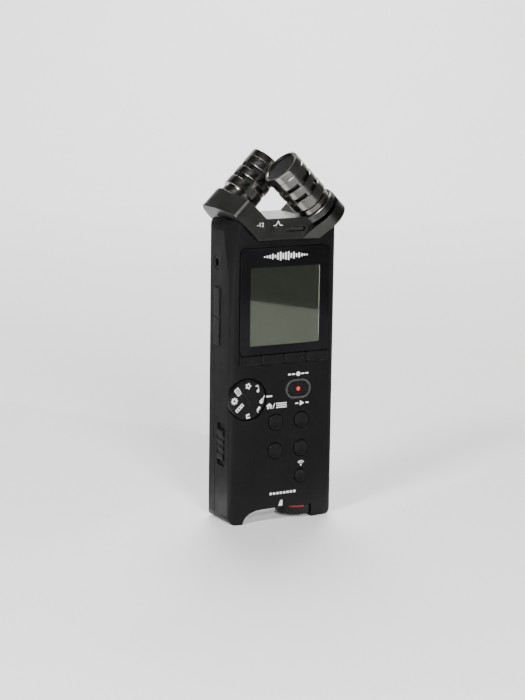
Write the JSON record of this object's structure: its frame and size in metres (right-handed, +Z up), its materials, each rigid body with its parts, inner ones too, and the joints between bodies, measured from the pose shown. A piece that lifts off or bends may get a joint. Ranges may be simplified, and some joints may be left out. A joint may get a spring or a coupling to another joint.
{
  "type": "handheld field recorder",
  "caption": "Slim upright handheld audio recorder with a display window, thumb controls, a mode dial and a crossed pair of microphones in a metal cradle on top.",
  "frame": {"origin": "bottom centre of the object, on the surface its two feet stand on", "axes": "+Z up along the body, the controls and display face -Y, +X to the right of a person facing the controls"},
  "size_m": [0.0522, 0.0366, 0.1549],
  "materials": {
    "body_plastic": "satin black, finely textured moulding",
    "rear_plastic": "soft-touch black, finely textured moulding",
    "gloss_panel": "polished black",
    "screen": "grey-green liquid crystal behind a clear pane",
    "button_plastic": "satin black",
    "ring_grey": "satin grey",
    "bracket_metal": "satin dark grey anodised",
    "mic_metal": "turned and plated, satin bright",
    "grille_black": "black woven wire or perforated sheet",
    "indicator_lens": "smoked clear",
    "cover_rubber": "matt black",
    "plated_steel": "bright zinc or nickel plate",
    "brass_insert": "turned brass",
    "circuit_board": "green solder resist",
    "cell_sleeve": "plain printed sleeve without lettering"
  },
  "bodies": {
    "recorder_body": {"front_shell": "body_plastic", "rear_shell": "rear_plastic", "display_window": "gloss_panel", "lcd_module": "screen", "record_ring": "ring_grey", "dial_switch": "plated_steel", "level_potentiometer": "plated_steel", "volume_switch": "plated_steel", "power_switch": "plated_steel", "headphone_jack": "button_plastic", "external_input_jack": "button_plastic", "usb_socket": "plated_steel", "card_socket": "plated_steel", "main_circuit_board": "circuit_board", "battery_cell_left": "cell_sleeve", "battery_cell_right": "cell_sleeve", "battery_contact_lower": "plated_steel", "battery_contact_upper": "plated_steel", "contact_spring_left": "plated_steel", "contact_spring_right": "plated_steel", "speaker": "grille_black", "tripod_bush": "brass_insert", "rear_screw_1": "plated_steel", "rear_screw_2": "plated_steel", "rear_screw_3": "plated_steel", "rear_screw_4": "plated_steel", "mic_bracket": "bracket_metal", "level_indicator": "indicator_lens", "peak_indicator": "indicator_lens", "status_window": "indicator_lens", "left_mic_housing": "mic_metal", "right_mic_housing": "mic_metal", "left_mic_grille": "grille_black", "right_mic_grille": "grille_black", "left_mic_capsule": "button_plastic", "right_mic_capsule": "button_plastic"},
    "key_1": {"function_key_1": "gloss_panel"},
    "key_2": {"function_key_2": "gloss_panel"},
    "key_3": {"function_key_3": "gloss_panel"},
    "key_4": {"function_key_4": "gloss_panel"},
    "home": {"home_button": "button_plastic"},
    "play": {"play_button": "button_plastic"},
    "skip_back": {"skip_back_button": "button_plastic"},
    "skip_forward": {"skip_forward_button": "button_plastic"},
    "wireless": {"wireless_button": "button_plastic"},
    "record": {"record_button": "button_plastic"},
    "dial": {"mode_dial": "button_plastic"},
    "level_wheel": {"input_level_wheel": "body_plastic"},
    "rocker": {"volume_rocker": "body_plastic"},
    "slider": {"power_slider": "body_plastic"},
    "door": {"battery_door": "rear_plastic"},
    "card_flap": {"card_cover": "cover_rubber"}
  },
  "joints": [
    {"name": "key_1_press", "type": "slide", "parent": "recorder_body", "child": "key_1", "axis": [0, 1, 0], "range_m": [0, 0.0004], "stiffness_N_per_m": 200},
    {"name": "key_2_press", "type": "slide", "parent": "recorder_body", "child": "key_2", "axis": [0, 1, 0], "range_m": [0, 0.0004], "stiffness_N_per_m": 200},
    {"name": "key_3_press", "type": "slide", "parent": "recorder_body", "child": "key_3", "axis": [0, 1, 0], "range_m": [0, 0.0004], "stiffness_N_per_m": 200},
    {"name": "key_4_press", "type": "slide", "parent": "recorder_body", "child": "key_4", "axis": [0, 1, 0], "range_m": [0, 0.0004], "stiffness_N_per_m": 200},
    {"name": "home_press", "type": "slide", "parent": "recorder_body", "child": "home", "axis": [0, 1, 0], "range_m": [0, 0.0004], "stiffness_N_per_m": 200},
    {"name": "play_press", "type": "slide", "parent": "recorder_body", "child": "play", "axis": [0, 1, 0], "range_m": [0, 0.0004], "stiffness_N_per_m": 200},
    {"name": "skip_back_press", "type": "slide", "parent": "recorder_body", "child": "skip_back", "axis": [0, 1, 0], "range_m": [0, 0.0004], "stiffness_N_per_m": 200},
    {"name": "skip_forward_press", "type": "slide", "parent": "recorder_body", "child": "skip_forward", "axis": [0, 1, 0], "range_m": [0, 0.0004], "stiffness_N_per_m": 200},
    {"name": "wireless_press", "type": "slide", "parent": "recorder_body", "child": "wireless", "axis": [0, 1, 0], "range_m": [0, 0.0004], "stiffness_N_per_m": 200},
    {"name": "record_press", "type": "slide", "parent": "recorder_body", "child": "record", "axis": [0, 1, 0], "range_m": [0, 0.0004], "stiffness_N_per_m": 200},
    {"name": "dial_turn", "type": "hinge", "parent": "recorder_body", "child": "dial", "pos_m": [-0.0169, -0.0107, 0.0534], "axis": [0, 1, 0], "continuous": true},
    {"name": "level_wheel_turn", "type": "hinge", "parent": "recorder_body", "child": "level_wheel", "pos_m": [0.0098, -0.0031, 0.0016], "axis": [0, 0, 1], "range_deg": [-140, 140]},
    {"name": "volume_rock", "type": "hinge", "parent": "recorder_body", "child": "rocker", "pos_m": [-0.0236, 0.00265, 0.08715], "axis": [0, 1, 0], "range_deg": [-1.8, 1.8], "stiffness_Nm_per_rad": 0.02},
    {"name": "power_slide", "type": "slide", "parent": "recorder_body", "child": "slider", "axis": [0, 0, 1], "range_m": [-0.0025, 0.0025]},
    {"name": "door_slide", "type": "slide", "parent": "recorder_body", "child": "door", "axis": [0, 0, -1], "range_m": [0, 0.004]},
    {"name": "card_flap_hinge", "type": "hinge", "parent": "recorder_body", "child": "card_flap", "pos_m": [0.0247, 0.003, 0.07], "axis": [0, 0, 1], "range_deg": [0, 100]}
  ]
}
